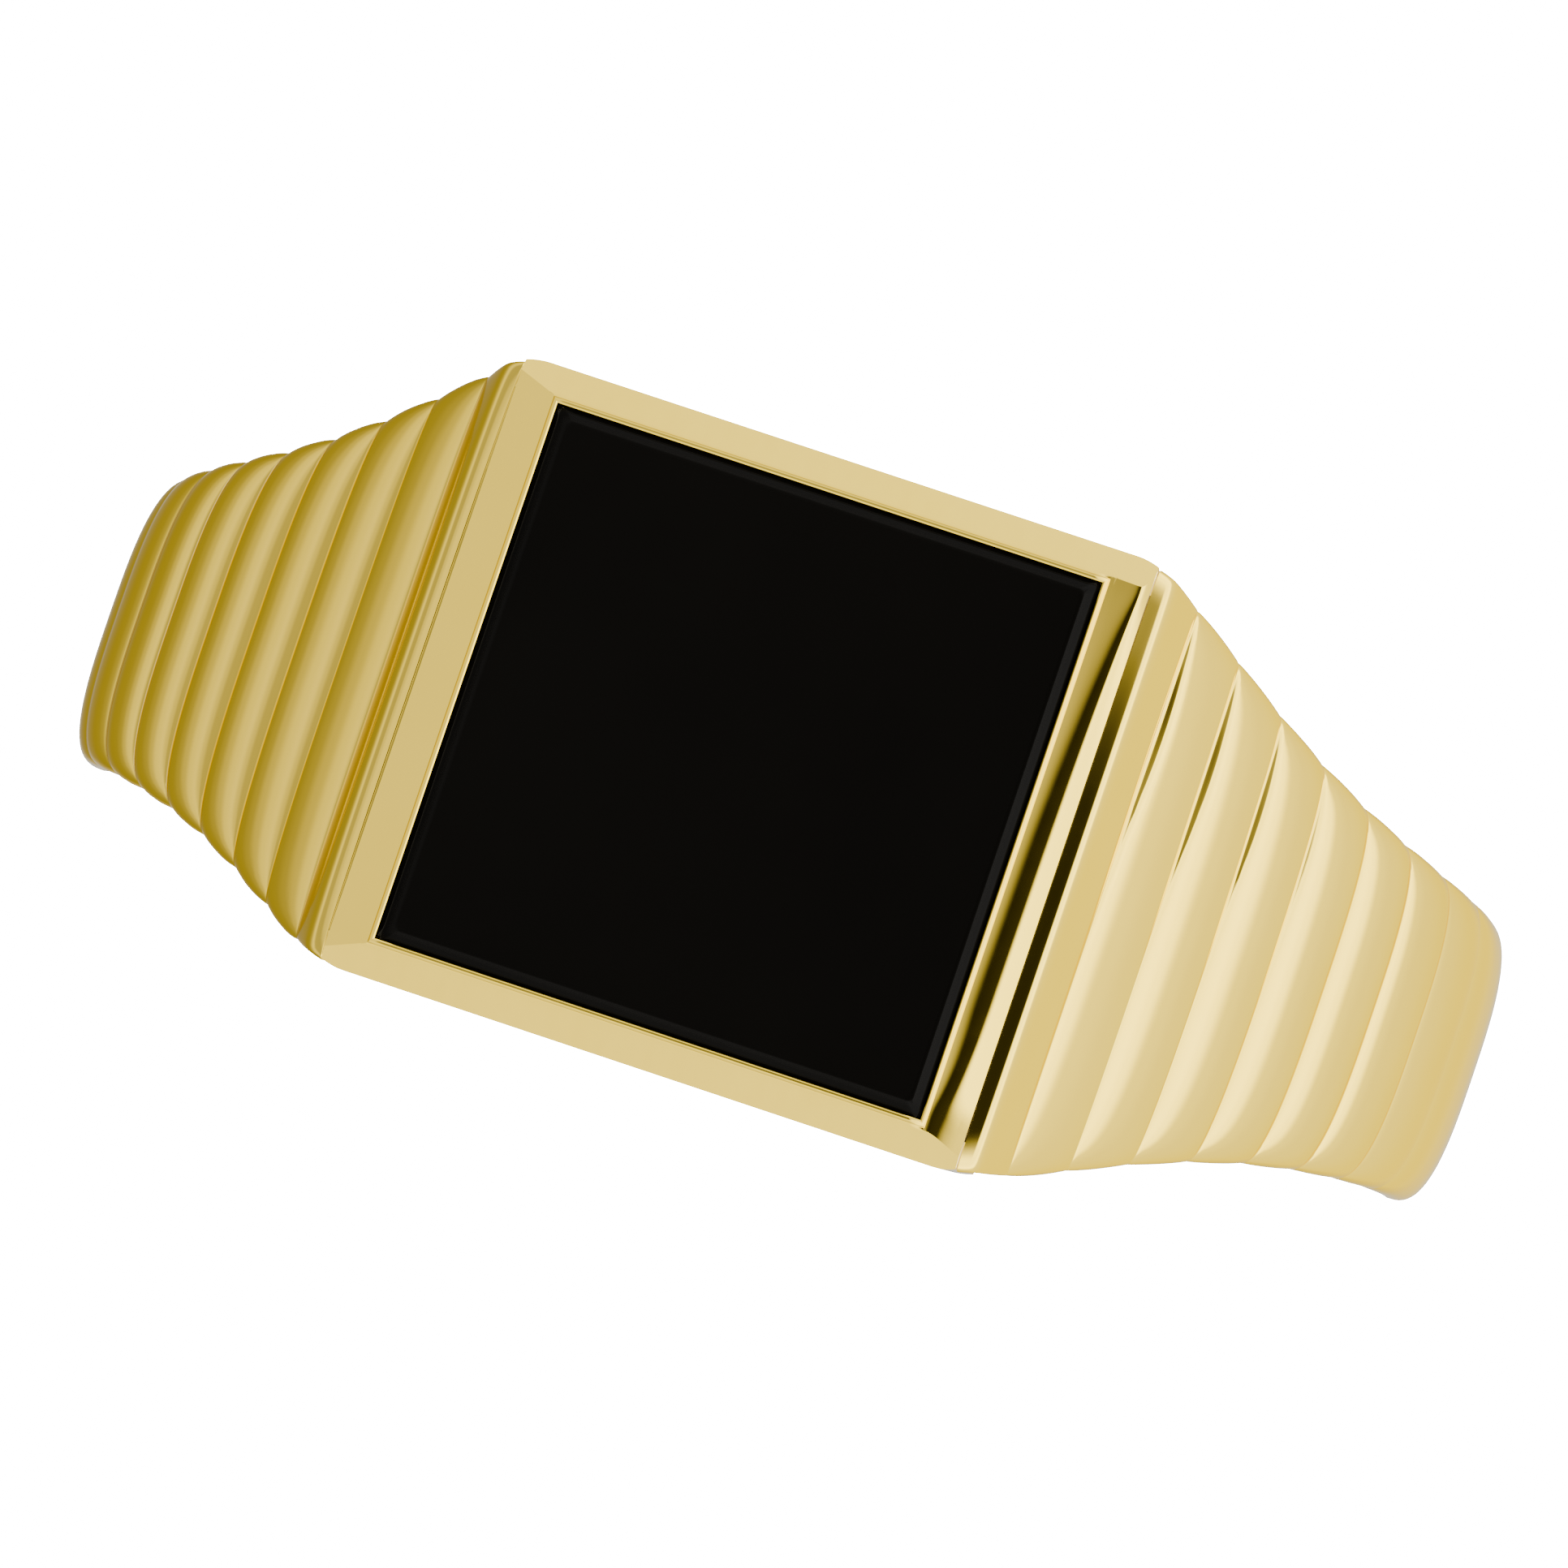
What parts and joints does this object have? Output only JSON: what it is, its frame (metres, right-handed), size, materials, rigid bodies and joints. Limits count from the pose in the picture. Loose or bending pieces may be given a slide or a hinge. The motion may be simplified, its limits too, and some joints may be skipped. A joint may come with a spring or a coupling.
{
  "type": "signet ring",
  "caption": "Finger ring with a flat square black stone in a bevelled head frame and cross-ribbed shoulders that taper into a plain hoop",
  "frame": {"origin": "centre of the finger hole, on its axis and half way along the band's width", "axes": "the finger runs along Y; Z points from the finger up through the stone's face; X runs across the finger from shoulder to shoulder"},
  "size_m": [0.0238, 0.0102, 0.0241],
  "materials": {
    "gold": "polished yellow gold",
    "gold_inside": "satin yellow gold",
    "black_stone": "polished opaque black stone",
    "cement": "set clear-amber jeweller's cement",
    "solder": "polished gold solder"
  },
  "bodies": {
    "root": {"shank": "gold", "head_frame": "gold", "bearer_plate": "gold_inside", "stone_tablet": "black_stone", "cement_bed": "cement", "left_solder": "solder", "right_solder": "solder"}
  },
  "joints": []
}
